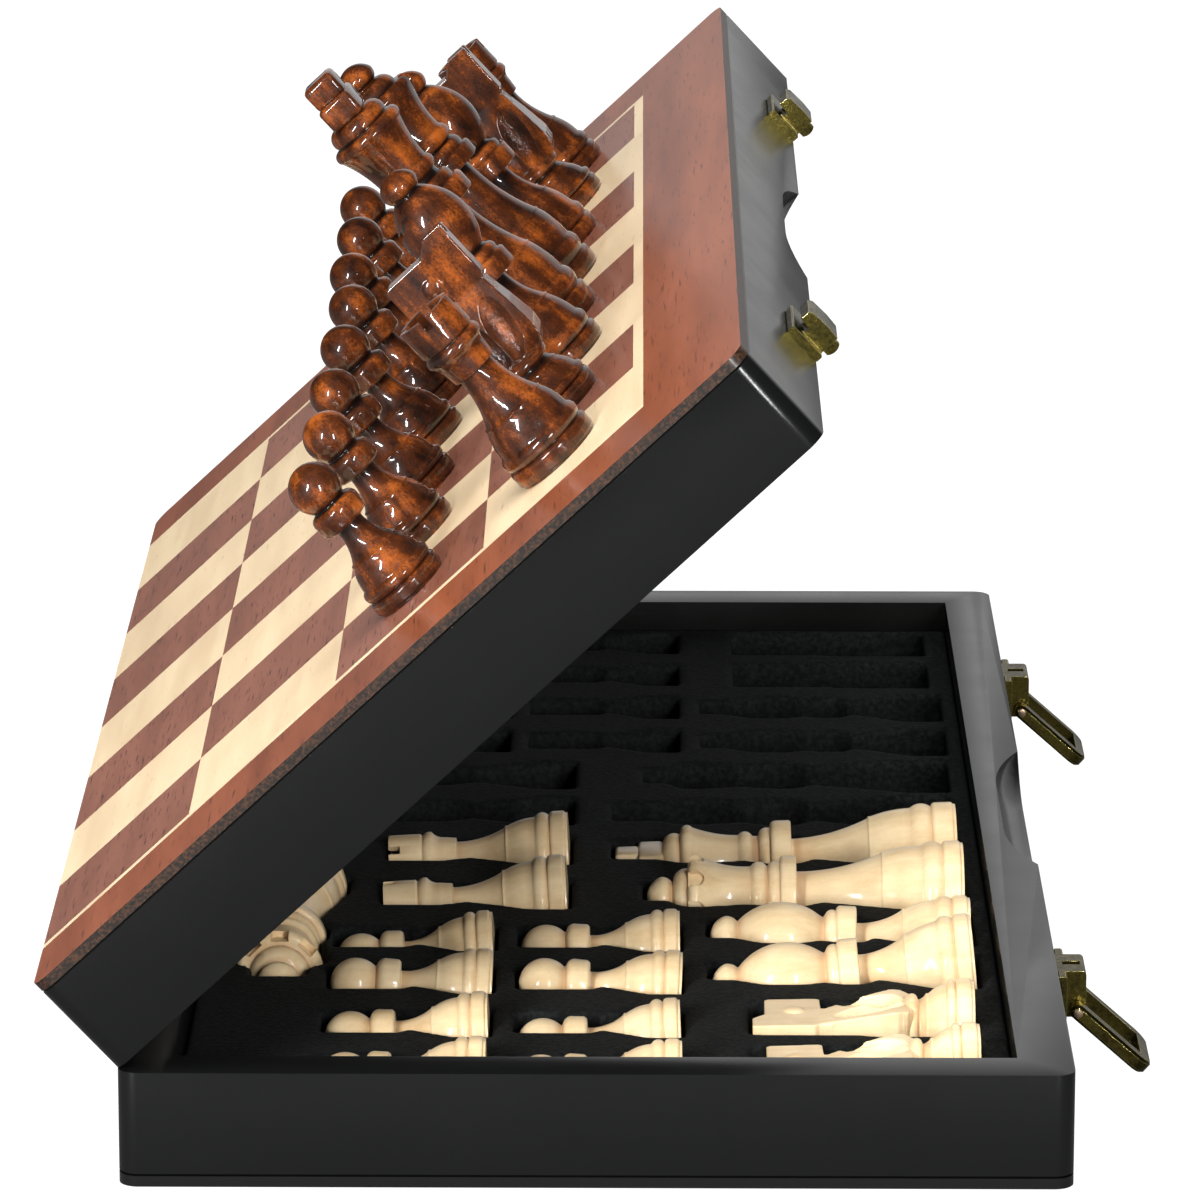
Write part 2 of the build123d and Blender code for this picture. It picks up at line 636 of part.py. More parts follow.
def save_hinges():
    save([hinge_half(y, base=True) for y in HINGE_YS], "base_hinge_leaves")
    lid_leaves = [half_to_lid(hinge_half(y, base=False)) for y in HINGE_YS]
    save([closed_to_open(leaf) for leaf in lid_leaves], "lid_hinge_leaves")
    save([hinge_pin(y) for y in HINGE_YS], "hinge_pins")
    screws = [hinge_screw(x, sy) for y in HINGE_YS for x, sy in screw_places(y)]
    save(screws, "base_hinge_screws")
    save([closed_to_open(half_to_lid(screw)) for screw in screws], "lid_hinge_screws")


def save_latches():
    save([latch_block(y) for y in LATCH_YS], "latch_blocks")
    save(latch_loop(LATCH_YS[0]), "near_latch_loop")
    save(latch_loop(LATCH_YS[1]), "far_latch_loop")
    save([latch_pin(y) for y in LATCH_YS], "latch_pins")
    save([closed_to_open(lid_catch(y)) for y in LATCH_YS], "lid_catches")
    save([closed_to_open(catch_rivet(y)) for y in LATCH_YS], "catch_rivets")


def save_pieces():
    made = {kind: make() for kind, make in MAKERS.items()}
    for kind, number, x, y, heading in stored_places(near=True):
        name = piece_name("light", kind, number)
        turn = TURNED.get(name.removeprefix("light_"), 180)
        _, rise, droop = settled(kind, number)
        save(lying(made[kind.replace("spare_", "")], x, y, rise, droop, turn, heading), name)
    for kind, number, u, y in lid_places():
        save(on_lid(made[kind], u, y), piece_name("dark", kind, number))
    kind, number, x, y, heading = stored_places(near=False)[-1]
    spare = lying(made["queen"], x, y, *settled(kind, number)[1:], 180, heading)
    save(spare, piece_name("dark", kind, number))


def main():
    os.makedirs("parts", exist_ok=True)
    save_base()
    save_hinges()
    save_latches()
    save_pieces()


main()
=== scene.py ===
"""The looks of a folding chess box: a lacquered frame, an inlaid board, foam, brass and turned pieces.

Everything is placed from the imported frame, in metres. Chess pieces are drawn upright in millimetres
about their own axis and then laid in the foam or stood on the lid.
"""
import json
from math import atan2, cos, hypot, pi, radians, sin

import bmesh
import bpy
import numpy as np
from mathutils import Matrix, Vector


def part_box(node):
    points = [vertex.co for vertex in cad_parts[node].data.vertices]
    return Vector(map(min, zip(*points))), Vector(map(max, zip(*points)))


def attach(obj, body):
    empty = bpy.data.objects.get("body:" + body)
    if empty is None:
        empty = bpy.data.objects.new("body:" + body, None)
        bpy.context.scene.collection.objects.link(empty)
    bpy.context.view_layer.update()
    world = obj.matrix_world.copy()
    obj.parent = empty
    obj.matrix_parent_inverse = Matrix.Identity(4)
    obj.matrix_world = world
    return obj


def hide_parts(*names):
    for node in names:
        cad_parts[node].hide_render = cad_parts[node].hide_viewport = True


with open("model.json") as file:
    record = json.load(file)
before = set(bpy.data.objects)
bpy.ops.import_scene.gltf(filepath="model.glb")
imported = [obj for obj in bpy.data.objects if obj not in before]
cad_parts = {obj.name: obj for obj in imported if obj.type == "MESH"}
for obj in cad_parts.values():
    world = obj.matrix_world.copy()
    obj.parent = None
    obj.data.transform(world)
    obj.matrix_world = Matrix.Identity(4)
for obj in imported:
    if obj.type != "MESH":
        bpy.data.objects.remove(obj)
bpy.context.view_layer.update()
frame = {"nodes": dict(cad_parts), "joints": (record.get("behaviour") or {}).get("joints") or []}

MM = 0.001
joints = {joint["name"]: joint for joint in frame["joints"]}
HINGE = Vector(joints["lid_hinge"]["pos_m"])
LID_OPEN = -radians(joints["lid_hinge"]["range_deg"][0])
SQUARE = 40.5 * MM

# ---------------------------------------------------------------- shader helpers


class Shader:
    """A material with its principled shader, and short ways to add and link nodes."""

    def __init__(self, name, **sockets):
        self.material = bpy.data.materials.new(name)
        self.material.use_nodes = True
        self.tree = self.material.node_tree
        self.surface = self.tree.nodes["Principled BSDF"]
        for socket, value in sockets.items():
            self.set(socket.replace("_", " "), value)

    def set(self, socket, value):
        """Put a number, a colour or another node's output into a socket of the surface."""
        feed(self.tree, self.surface.inputs[socket], value)

    def add(self, kind, inputs, output=0, **settings):
        """Add a node and return one of its outputs."""
        node = self.tree.nodes.new(kind)
        for name, value in settings.items():
            setattr(node, name, value)
        for key, value in inputs.items():
            feed(self.tree, node.inputs[key], value)
        return node.outputs[output]

    def place(self):
        """The piece's own coordinates, in metres."""
        return self.add("ShaderNodeTexCoord", {}, "Object")

    def normal(self):
        """The piece's own surface direction."""
        return self.add("ShaderNodeTexCoord", {}, "Normal")

    def stretch(self, vector, scale, turn=(0, 0, 0)):
        return self.add("ShaderNodeMapping", {"Vector": vector, "Scale": scale, "Rotation": turn})

    def noise(self, vector, scale, detail=3.0, rough=0.55):
        inputs = {"Vector": vector, "Scale": scale, "Detail": detail, "Roughness": rough}
        return self.add("ShaderNodeTexNoise", inputs, "Fac")

    def math(self, operation, first, second=0.0, clamp=False):
        return self.add("ShaderNodeMath", {0: first, 1: second}, operation=operation, use_clamp=clamp)

    def vector(self, operation, first, second=(0, 0, 0), output="Vector"):
        return self.add("ShaderNodeVectorMath", {0: first, 1: second}, output, operation=operation)

    def range(self, value, low, high, to_low=0.0, to_high=1.0):
        inputs = {"Value": value, "From Min": low, "From Max": high, "To Min": to_low, "To Max": to_high}
        return self.add("ShaderNodeMapRange", inputs, interpolation_type="SMOOTHSTEP")

    def ramp(self, value, *stops):
        """Colours at positions along a value. A stop is (position, colour)."""
        node = self.tree.nodes.new("ShaderNodeValToRGB")
        feed(self.tree, node.inputs[0], value)
        elements = node.color_ramp.elements
        while len(elements) < len(stops):
            elements.new(0.5)
        for element, (position, colour) in zip(elements, stops):
            element.position = position
            element.color = (*colour, 1)
        return node.outputs[0]

    def mix(self, factor, first, second):
        node = self.tree.nodes.new("ShaderNodeMix")
        node.data_type = "RGBA"
        feed(self.tree, node.inputs["Factor"], factor)
        feed(self.tree, node.inputs[6], first)
        feed(self.tree, node.inputs[7], second)
        return node.outputs[2]

    def bump(self, height, distance, strength=1.0, coat=False):
        """Raise the surface by a height from 0 to 1, times a distance in metres."""
        inputs = {"Height": height, "Distance": distance, "Strength": strength}
        raised = self.add("ShaderNodeBump", inputs)
        self.set("Normal", raised)
        if coat:
            self.set("Coat Normal", raised)


def feed(tree, socket, value):
    if isinstance(value, bpy.types.NodeSocket):
        tree.links.new(value, socket)
    elif isinstance(value, (tuple, list)) and socket.type == "RGBA" and len(value) == 3:
        socket.default_value = (*value, 1)
    else:
        socket.default_value = value


# ---------------------------------------------------------------- materials


def black_lacquer():
    """Satin black lacquer over wood: a faint orange peel and a very faint grain."""
    look = Shader("black_lacquer", Base_Color=(0.0045, 0.0050, 0.0046), IOR=1.38)
    place = look.place()
    peel = look.noise(place, 1500, 2.0)
    grain = look.noise(look.stretch(place, (1, 0.08, 1)), 1100, 3.0)
    look.set("Roughness", look.range(look.noise(place, 45, 4.0), 0.3, 0.7, 0.19, 0.24))
    height = look.math("ADD", look.math("MULTIPLY", grain, 0.5), peel)
    look.bump(height, 0.00003, 0.35)
    return look.material


def board_place(look, lid):
    """Coordinates on the closed board: x from the hinge side, y along the box, z through it."""
    place = look.vector("SUBTRACT", look.place(), tuple(HINGE))
    return look.stretch(place, (1, 1, 1), (0, LID_OPEN if lid else 0, 0))


def cell_random(look, place):
    """A random colour for each square of the board."""
    scaled = look.stretch(place, (1 / SQUARE, 1 / SQUARE, 0))
    cell = look.vector("FLOOR", look.vector("ADD", scaled, (0.001, 8, 0.5)))
    return look.add("ShaderNodeTexWhiteNoise", {"Vector": cell}, "Color")


def veneer(name, lid, pale, dark, pore, pore_share, gloss):
    """A square of veneer under satin lacquer, its grain and fine pores along the box."""
    look = Shader(name, IOR=1.4, Coat_Weight=0.35, Coat_Roughness=gloss, Coat_IOR=1.5)
    place = board_place(look, lid)
    random = cell_random(look, place)
    shift = look.vector("SCALE", random)
    shift.node.inputs["Scale"].default_value = 3.0
    place = look.vector("ADD", place, shift)
    figure = look.noise(look.stretch(place, (1, 0.12, 1)), 110, 4.0, 0.6)
    tone = look.ramp(figure, (0.3, dark), (0.7, pale))
    value = look.add("ShaderNodeSeparateColor", {"Color": random}, 1)
    tone = look.mix(look.range(value, 0, 1, 0.0, 0.16), tone, dark)
    fine = look.noise(look.stretch(place, (1, 0.07, 1)), 1900, 2.0, 0.5)
    pores = look.range(fine, pore_share, pore_share + 0.1)
    look.set("Base Color", look.mix(pores, tone, pore))
    look.set("Roughness", look.range(figure, 0.3, 0.7, 0.30, 0.40))
    look.bump(look.math("SUBTRACT", 1.0, pores), 0.00003, 0.35)
    return look.material


def mahogany(name, lid):
    """The border: reddish mahogany with short dark pores, and the stained edge of the panel."""
    look = Shader(name, IOR=1.4, Coat_Weight=0.35, Coat_Roughness=0.24, Coat_IOR=1.5)
    place = board_place(look, lid)
    figure = look.noise(look.stretch(place, (1, 0.10, 1)), 90, 5.0, 0.6)
    tone = look.ramp(figure, (0.25, (0.16, 0.042, 0.018)), (0.75, (0.31, 0.092, 0.042)))
    fine = look.noise(look.stretch(place, (1, 0.06, 1)), 1700, 2.0, 0.5)
    pores = look.range(fine, 0.60, 0.72)
    face = look.mix(pores, tone, (0.10, 0.030, 0.018))
    speck = look.noise(place, 1500, 3.0)
    edge = (0.004, 0.0042, 0.004)
    if lid:
        edge = look.ramp(speck, (0.42, (0.006, 0.004, 0.003)), (0.66, (0.055, 0.022, 0.009)))
    across = (-sin(LID_OPEN), 0, cos(LID_OPEN)) if lid else (0, 0, -1)
    facing = look.vector("DOT_PRODUCT", look.normal(), across, "Value")
    is_face = look.math("GREATER_THAN", facing, 0.85)
    look.set("Base Color", look.mix(is_face, edge, face))
    look.set("Roughness", look.range(is_face, 0, 1, 0.55 if lid else 0.2, 0.34))
    look.bump(look.math("SUBTRACT", 1.0, pores), 0.00003, 0.3)
    return look.material


def foam(name):
    """Black closed-cell foam: a soft dull skin with fine open cells."""
    look = Shader(name, Roughness=0.95, IOR=1.3)
    place = look.place()
    cells = look.add("ShaderNodeTexVoronoi", {"Vector": place, "Scale": 1500.0}, "Distance")
    mottle = look.noise(place, 900, 3.0)
    tone = look.ramp(mottle, (0.38, (0.0035, 0.0042, 0.004)), (0.72, (0.014, 0.0155, 0.0148)))
    look.set("Base Color", tone)
    height = look.math("ADD", look.math("MULTIPLY", cells, 0.7), mottle)
    look.bump(height, 0.00022, 0.8)
    return look.material


def piece_wood(name, tones, stops, weights, groove_stain_and_shade, groove_share, rough, coat, coat_rough, wavy):
    """Turned and lacquered wood: streaks up the piece, fine flecks, and a darker tone in the grooves
    that is partly stain and partly painted shade.
    """
    look = Shader(name, IOR=1.22, Coat_Weight=coat, Coat_Roughness=coat_rough, Coat_IOR=1.45)
    own = look.add("ShaderNodeObjectInfo", {}, "Random")
    shift = look.vector("SCALE", (1.0, 0.7, 0.3))
    feed(look.tree, shift.node.inputs["Scale"], own)
    place = look.vector("ADD", look.place(), shift)
    streaks = look.noise(look.stretch(place, (1, 1, 0.09)), 320, 4.0, 0.6)
    flecks = look.noise(look.stretch(place, (1, 1, 0.7)), 2400, 3.0, 0.6)
    clouds = look.noise(place, 130, 4.0, 0.55)
    value = look.math("MULTIPLY", streaks, weights[0])
    value = look.math("ADD", value, look.math("MULTIPLY", flecks, weights[1]))
    value = look.math("ADD", value, look.math("MULTIPLY", clouds, weights[2]))
    tone = look.ramp(value, *zip(stops, tones))
    # Painted shade with stain: the grooves darken by how deep they lie, as if the hollows were shadowed.
    recess = look.add("ShaderNodeAttribute", {}, "Fac", attribute_name="recess")
    deep = look.math("MULTIPLY", recess, groove_share, clamp=True)
    look.set("Base Color", look.mix(deep, tone, groove_stain_and_shade))
    look.set("Roughness", rough)
    carved = look.add("ShaderNodeAttribute", {}, "Fac", attribute_name="carved")
    ripple = look.noise(place, 420, 2.0, 0.5)
    rough_cut = look.math("MULTIPLY", look.noise(place, 1300, 3.0, 0.6), carved)
    height = look.math("ADD", look.math("MULTIPLY", ripple, wavy), look.math("MULTIPLY", rough_cut, 2.2))
    look.bump(height, 0.00016, 0.9, coat=True)
    return look.material


def felt(name, colour):
    look = Shader(name, Roughness=1.0)
    look.surface.inputs["Sheen Weight"].default_value = 0.4
    fibres = look.noise(look.place(), 4000, 3.0)
    dark = tuple(c * 0.45 for c in colour)
    look.set("Base Color", look.ramp(fibres, (0.35, dark), (0.65, colour)))
    look.bump(fibres, 0.00012, 0.8)
    return look.material


def metal(name, colour, tarnish, rough):
    """Plated metal with fine tarnish."""
    look = Shader(name, Metallic=1.0)
    place = look.place()
    spots = look.noise(place, 1300, 3.0, 0.6)
    wash = look.noise(place, 160, 3.0, 0.5)
    value = look.math("ADD", look.math("MULTIPLY", spots, 0.6), look.math("MULTIPLY", wash, 0.4))
    look.set("Base Color", look.ramp(value, (0.38, tarnish), (0.62, colour)))
    look.set("Roughness", look.range(value, 0.35, 0.65, rough + 0.08, rough - 0.06))
    look.bump(spots, 0.00002, 0.4)
    return look.material


LACQUER = black_lacquer()
FOAM = foam("foam")
BRASS = metal("antique_brass", (0.17, 0.135, 0.030), (0.035, 0.030, 0.010), 0.30)
# Painted highlight: bright brass on the hardware's bevels stands for the glint along its edges.
BRASS_EDGE_HIGHLIGHT = metal("worn_brass_edge", (1.0, 0.86, 0.30), (0.80, 0.66, 0.22), 0.25)
STEEL = metal("bright_steel", (0.80, 0.78, 0.74), (0.55, 0.52, 0.48), 0.22)
COPPERY = metal("pin_brass", (0.72, 0.52, 0.34), (0.40, 0.27, 0.16), 0.26)
BOXWOOD = piece_wood(
    "boxwood",
    tones=((0.70, 0.49, 0.26), (0.80, 0.60, 0.35), (0.88, 0.70, 0.44)),
    stops=(0.36, 0.50, 0.64),
    weights=(0.45, 0.12, 0.43), groove_stain_and_shade=(0.55, 0.32, 0.16), groove_share=0.75,
    rough=0.36, coat=0.45, coat_rough=0.12, wavy=0.25,
)
DARKWOOD = piece_wood(
    "dark_stained_wood",
    tones=((0.012, 0.0042, 0.0022), (0.060, 0.0145, 0.0034), (0.30, 0.072, 0.009)),
    stops=(0.40, 0.51, 0.64),
    weights=(0.36, 0.20, 0.44), groove_stain_and_shade=(0.004, 0.0018, 0.0014), groove_share=1.0,
    rough=0.42, coat=1.0, coat_rough=0.055, wavy=0.40,
)
GREEN_FELT = felt("green_felt", (0.020, 0.085, 0.050))
BROWN_FELT = felt("brown_felt", (0.085, 0.030, 0.022))

# ---------------------------------------------------------------- mesh helpers


def new_object(name, mesh, *materials):
    piece = bpy.data.objects.new(name, mesh)
    bpy.context.scene.collection.objects.link(piece)
    if not mesh.materials:
        for material in materials:
            mesh.materials.append(material)
    return piece


def mesh_from(vertices, faces):
    mesh = bpy.data.meshes.new("shape")
    mesh.from_pydata([tuple(v) for v in vertices], [], faces)
    mesh.update()
    return mesh


def with_modifiers(mesh, *modifiers):
    """A copy of a mesh after modifiers, each (type, {setting: value})."""
    temp = bpy.data.objects.new("temp", mesh)
    bpy.context.scene.collection.objects.link(temp)
    for kind, settings in modifiers:
        modifier = temp.modifiers.new(kind, kind)
        for name, value in settings.items():
            setattr(modifier, name, value)
    depsgraph = bpy.context.evaluated_depsgraph_get()
    made = bpy.data.meshes.new_from_object(temp.evaluated_get(depsgraph), depsgraph=depsgraph)
    bpy.data.objects.remove(temp)
    return made


def combined(mesh, other, operation="DIFFERENCE"):
    """One mesh cut from, joined to or crossed with another."""
    tool = bpy.data.objects.new("tool", other)
    bpy.context.scene.collection.objects.link(tool)
    settings = {"operation": operation, "object": tool, "solver": "EXACT"}
    made = with_modifiers(mesh, ("BOOLEAN", settings))
    bpy.data.objects.remove(tool)
    return made


def gathered(*meshes):
    """Several meshes in one, with their shells side by side."""
    built = bmesh.new()
    for mesh in meshes:
        built.from_mesh(mesh)
    made = bpy.data.meshes.new("gathered")
    built.to_mesh(made)
    built.free()
    return made


def moved(mesh, matrix):
    made = mesh.copy()
    made.transform(matrix)
    if matrix.determinant() < 0:
        made.flip_normals()
    return made


def block(size, centre=(0, 0, 0), rounding=0.0):
    """A box, with its edges rounded if asked."""
    built = bmesh.new()
    bmesh.ops.create_cube(built, size=1.0)
    bmesh.ops.scale(built, vec=size, verts=built.verts)
    if rounding:
        bmesh.ops.bevel(
            built, geom=built.edges[:], offset=rounding, segments=3, affect="EDGES", profile=0.5
        )
    bmesh.ops.translate(built, vec=centre, verts=built.verts)
    mesh = bpy.data.meshes.new("block")
    built.to_mesh(mesh)
    built.free()
    return mesh


def ball(radii, centre, turn=0.0):
    """An ellipsoid, turned about Y."""
    built = bmesh.new()
    bmesh.ops.create_uvsphere(built, u_segments=48, v_segments=32, radius=1.0)
    mesh = bpy.data.meshes.new("ball")
    built.to_mesh(mesh)
    built.free()
    stretched = Matrix.Diagonal((*radii, 1))
    mesh.transform(Matrix.Translation(centre) @ Matrix.Rotation(turn, 4, "Y") @ stretched)
    return mesh


def prism(outline, half):
    """An outline in the XZ plane, drawn out to both sides along Y."""
    count = len(outline)
    vertices = [(x, -half, z) for x, z in outline] + [(x, half, z) for x, z in outline]
    faces = [tuple(range(count)), tuple(range(2 * count - 1, count - 1, -1))]
    faces += [(i, i + count, (i + 1) % count + count, (i + 1) % count) for i in range(count)]
    built = bmesh.new()
    built.from_mesh(mesh_from(vertices, faces))
    bmesh.ops.recalc_face_normals(built, faces=built.faces)
    mesh = bpy.data.meshes.new("prism")
    built.to_mesh(mesh)
    built.free()
    return mesh


# ---------------------------------------------------------------- turning


def circle_through(a, b, c):
    """The centre of the circle through three points."""
    ax, ay = a[0] - c[0], a[1] - c[1]
    bx, by = b[0] - c[0], b[1] - c[1]
    twice = 2 * (ax * by - ay * bx)
    a2, b2 = ax * ax + ay * ay, bx * bx + by * by
    return (c[0] + (by * a2 - ay * b2) / twice, c[1] + (ax * b2 - bx * a2) / twice)


def arc(start, via, end, step=0.25):
    """Points along the arc from start to end, without the start."""
    cx, cy = circle_through(start, via, end)
    radius = hypot(start[0] - cx, start[1] - cy)
    first = atan2(start[1] - cy, start[0] - cx)
    middle = (atan2(via[1] - cy, via[0] - cx) - first) % (2 * pi)
    last = (atan2(end[1] - cy, end[0] - cx) - first) % (2 * pi)
    if middle > last:
        last -= 2 * pi
    count = max(2, round(abs(last) * radius / step))
    angles = [first + last * i / count for i in range(1, count + 1)]
    return [(cx + radius * cos(a), cy + radius * sin(a)) for a in angles]


def drawn(outline):
    """The points of an outline whose corners are (r, h), or (r, h, via_r, via_h) after an arc."""
    points = [outline[0]]
    for corner in outline[1:]:
        if len(corner) == 4:
            points += arc(points[-1], corner[2:], corner[:2])
        else:
            points.append(corner)
    return np.array(points, float)


def softened(points, rounding, step=0.1):
    """The outline with its corners rounded over, as sanding and lacquer leave them."""
    lengths = np.hypot(*np.diff(points, axis=0).T)
    along = np.concatenate([[0], np.cumsum(lengths)])
    places = np.linspace(0, along[-1], max(8, int(along[-1] / step)))
    even = np.stack([np.interp(places, along, points[:, i]) for i in (0, 1)], axis=1)
    reach = int(3 * rounding / step)
    weights = np.exp(-0.5 * (np.arange(-reach, reach + 1) * step / rounding) ** 2)
    weights /= weights.sum()
    before = even[reach:0:-1] * (-1, 1)
    after = even[-2:-reach - 2:-1] * (-1, 1)
    padded = np.concatenate([before, even, after])
    smooth = np.stack([np.convolve(padded[:, i], weights, "valid") for i in (0, 1)], axis=1)
    smooth[0] = (0, smooth[0, 1])
    smooth[-1] = (0, smooth[-1, 1])
    return smooth


def thinned(points, tolerance):
    """The fewest points that keep a line within a tolerance."""
    if len(points) < 3:
        return points
    start, end = points[0], points[-1]
    chord = end - start
    length = max(1e-9, hypot(*chord))
    away = np.abs((points[:, 0] - start[0]) * chord[1] - (points[:, 1] - start[1]) * chord[0]) / length
    worst = int(away.argmax())
    if away[worst] < tolerance:
        return np.array([start, end])
    first = thinned(points[:worst + 1], tolerance)
    return np.concatenate([first[:-1], thinned(points[worst:], tolerance)])


def turned(points, sides=72):
    """A closed mesh turned about Z."""
    rings = [p for p in points if p[0] > 1e-4]
    vertices = [(0, 0, points[0][1])]
    for r, h in rings:
        vertices += [(r * cos(2 * pi * i / sides), r * sin(2 * pi * i / sides), h) for i in range(sides)]
    vertices.append((0, 0, points[-1][1]))
    top = len(vertices) - 1
    faces = [(0, (i + 1) % sides + 1, i + 1) for i in range(sides)]
    for ring in range(len(rings) - 1):
        low = 1 + ring * sides
        for i in range(sides):
            j = (i + 1) % sides
            faces.append((low + i, low + j, low + sides + j, low + sides + i))
    low = 1 + (len(rings) - 1) * sides
    faces += [(low + i, low + (i + 1) % sides, top) for i in range(sides)]
    return mesh_from(vertices, faces)


def recess_along(points):
    """How far each height of an outline lies inside the line that a wide smoothing gives it."""
    heights = np.linspace(points[:, 1].min(), points[:, 1].max(), 400)
    order = np.argsort(points[:, 1], kind="stable")
    radii = np.interp(heights, points[order, 1], points[order, 0])
    step = heights[1] - heights[0]
    reach = int(6.0 / step)
    weights = np.exp(-0.5 * (np.arange(-reach, reach + 1) * step / 1.5) ** 2)
    padded = np.pad(radii, reach, mode="edge")
    wide = np.convolve(padded, weights / weights.sum(), "valid")
    recess = np.clip((wide - radii) / 0.7, 0, 1)
    recess[radii < 0.75 * wide] = 0
    recess[heights < heights[0] + 1.0] = 0
    recess[heights > heights[-1] - 1.0] = 0
    return heights, recess


# ---------------------------------------------------------------- chess pieces, in millimetres

FELT = 0.5               # thickness of the felt under a foot
FOOT_EDGE = 0.4          # how far above the board a CAD foot reaches its full radius


def foot(radius, disc, shoulder_r, shoulder_h, stem_r, stem_h):
    """The foot that every piece shares: disc, round ring, sloping body, shoulder and waist."""
    ring_top = disc + 0.34 * (shoulder_h - disc)
    body_r = (0.42 * radius + 0.58 * shoulder_r, (ring_top + shoulder_h) / 2 - 0.3)
    waist = (0.3 * shoulder_r + 0.7 * stem_r, 0.55 * shoulder_h + 0.45 * stem_h)
    return [
        (0, FELT),
        (radius - 0.3, FELT),
        (radius, FELT + 0.4),
        (radius, disc - 0.7),
        (radius - 0.9, disc + 0.1, radius - 0.25, disc - 0.15),
        (radius - 1.1, ring_top, radius - 0.15, (disc + ring_top) / 2),
        (shoulder_r - 0.1, shoulder_h - 0.5, *body_r),
        (shoulder_r, shoulder_h),
        (shoulder_r - 0.5, shoulder_h + 0.2),
        (stem_r, stem_h, *waist),
    ]


def cap(r, h, top):
    """The last stretch of an outline: a dome from (r, h) to the axis at a height."""
    centre = (top**2 - h**2 - r**2) / (2 * (top - h))
    half = atan2(r, h - centre) / 2
    radius = top - centre
    return (0, top, radius * sin(half), centre + radius * cos(half))


KING = foot(12.1, 5.3, 9.5, 19.4, 5.0, 35.9) + [
    (5.0, 36.6),
    (8.9, 36.6),
    (9.2, 37.0),
    (9.2, 40.0),
    (7.6, 41.3, 8.9, 40.9),
    (7.0, 43.6, 7.7, 42.4),
    (5.9, 44.0),
    (5.9, 45.2),
    (6.2, 48.4, 7.0, 46.8),
    (8.3, 58.6, 6.8, 53.6),
    (7.4, 61.2, 8.8, 60.1),
    (6.7, 61.5),
    (7.0, 61.8),
    (4.0, 65.2, 6.6, 64.2),
    (0, 65.4),
]
QUEEN = foot(12.0, 4.4, 9.8, 17.7, 5.5, 34.5) + [
    (5.5, 36.3),
    (8.8, 36.3),
    (9.0, 36.6),
    (9.0, 38.9),
    (7.8, 39.9, 8.8, 39.6),
    (7.2, 42.3, 7.9, 41.1),
    (6.6, 42.6),
    (6.7, 46.2, 7.7, 44.4),
    (9.0, 57.4, 7.2, 52.4),
    (8.2, 59.8, 9.2, 58.8),
    (6.4, 59.9),
    (3.2, 63.2, 5.6, 62.2),
    (4.5, 65.8, 4.2, 64.3),
    cap(4.5, 65.8, 68.9),
]
BISHOP = foot(10.6, 3.7, 7.4, 14.3, 3.9, 22.8) + [
    (3.9, 24.2),
    (7.3, 24.2),
    (7.5, 24.5),
    (7.5, 27.3),
    (6.4, 28.5, 7.3, 28.2),
    (5.6, 30.8, 6.6, 29.6),
    (4.9, 31.2),
    (5.3, 32.0),
    (3.4, 49.6, 7.9, 40.4),
    (4.5, 52.2, 4.2, 50.6),
    cap(4.5, 52.2, 55.4),
]
ROOK = foot(9.9, 4.0, 7.3, 13.9, 4.2, 23.2) + [
    (4.2, 24.9),
    (5.1, 24.9),
    (5.4, 27.6),
    (6.7, 30.4, 5.8, 29.4),
    (6.3, 32.2, 6.7, 31.5),
    (5.9, 32.5),
    (6.4, 32.9),
    (6.4, 40.0),
    (4.6, 40.0),
    (4.6, 36.8),
    (0, 36.8),
]
PAWN = foot(8.6, 3.4, 5.9, 11.6, 3.1, 17.6) + [
    (3.1, 19.2),
    (5.0, 19.2),
    (5.5, 19.8),
    (5.6, 22.0),
    (4.3, 24.2, 5.4, 23.4),
    (3.8, 24.5),
    (4.0, 24.8),
    cap(4.0, 24.8, 34.0),
]
KNIGHT_FOOT = foot(10.3, 3.7, 7.2, 9.8, 5.8, 11.4) + [
    (6.7, 11.8),
    (6.7, 13.6, 7.1, 12.7),
    (6.2, 14.2),
    (0, 14.2),
]
FOOT_RADIUS = {"king": 12.1, "queen": 12.0, "bishop": 10.6, "knight": 10.3, "rook": 9.9, "pawn": 8.6}


def king_cross():
    """A thick cross: arms and top are two rounded blocks with a V between them."""
    arms = block((8.2, 12.0, 5.7), (0, 0, 67.9), 0.9)
    top = block((7.6, 7.6, 5.6), (0, 0, 73.1), 1.0)
    neck = block((5.6, 5.2, 4.0), (0, 0, 70.6), 0.3)
    return gathered(arms, top, neck)


def queen_notches(body):
    """Round-bottomed notches cut outwards through the coronet's lip."""
    low = [(1.9 * cos(pi * i / 12), 58.2 - 1.9 * sin(pi * i / 12)) for i in range(13)]
    tool = moved(prism(low + [(-1.9, 64.0), (1.9, 64.0)], 2.4), Matrix.Rotation(pi / 2, 4, "Z"))
    tool = moved(tool, Matrix.Translation((9.6, 0, 0)))
    for i in range(8):
        body = combined(body, moved(tool, Matrix.Rotation(pi / 4 * i, 4, "Z")))
    return body


def bishop_slit(body):
    cut = moved(block((9.0, 20.0, 0.8)), Matrix.Rotation(radians(-38), 4, "Y"))
    return combined(body, moved(cut, Matrix.Translation((-5.6, 0, 44.6))))


def rook_slots(body):
    for turn in (0, pi / 2):
        slot = moved(block((20.0, 1.9, 5.2), (0, 0, 40.0)), Matrix.Rotation(turn, 4, "Z"))
        body = combined(body, slot)
    return body


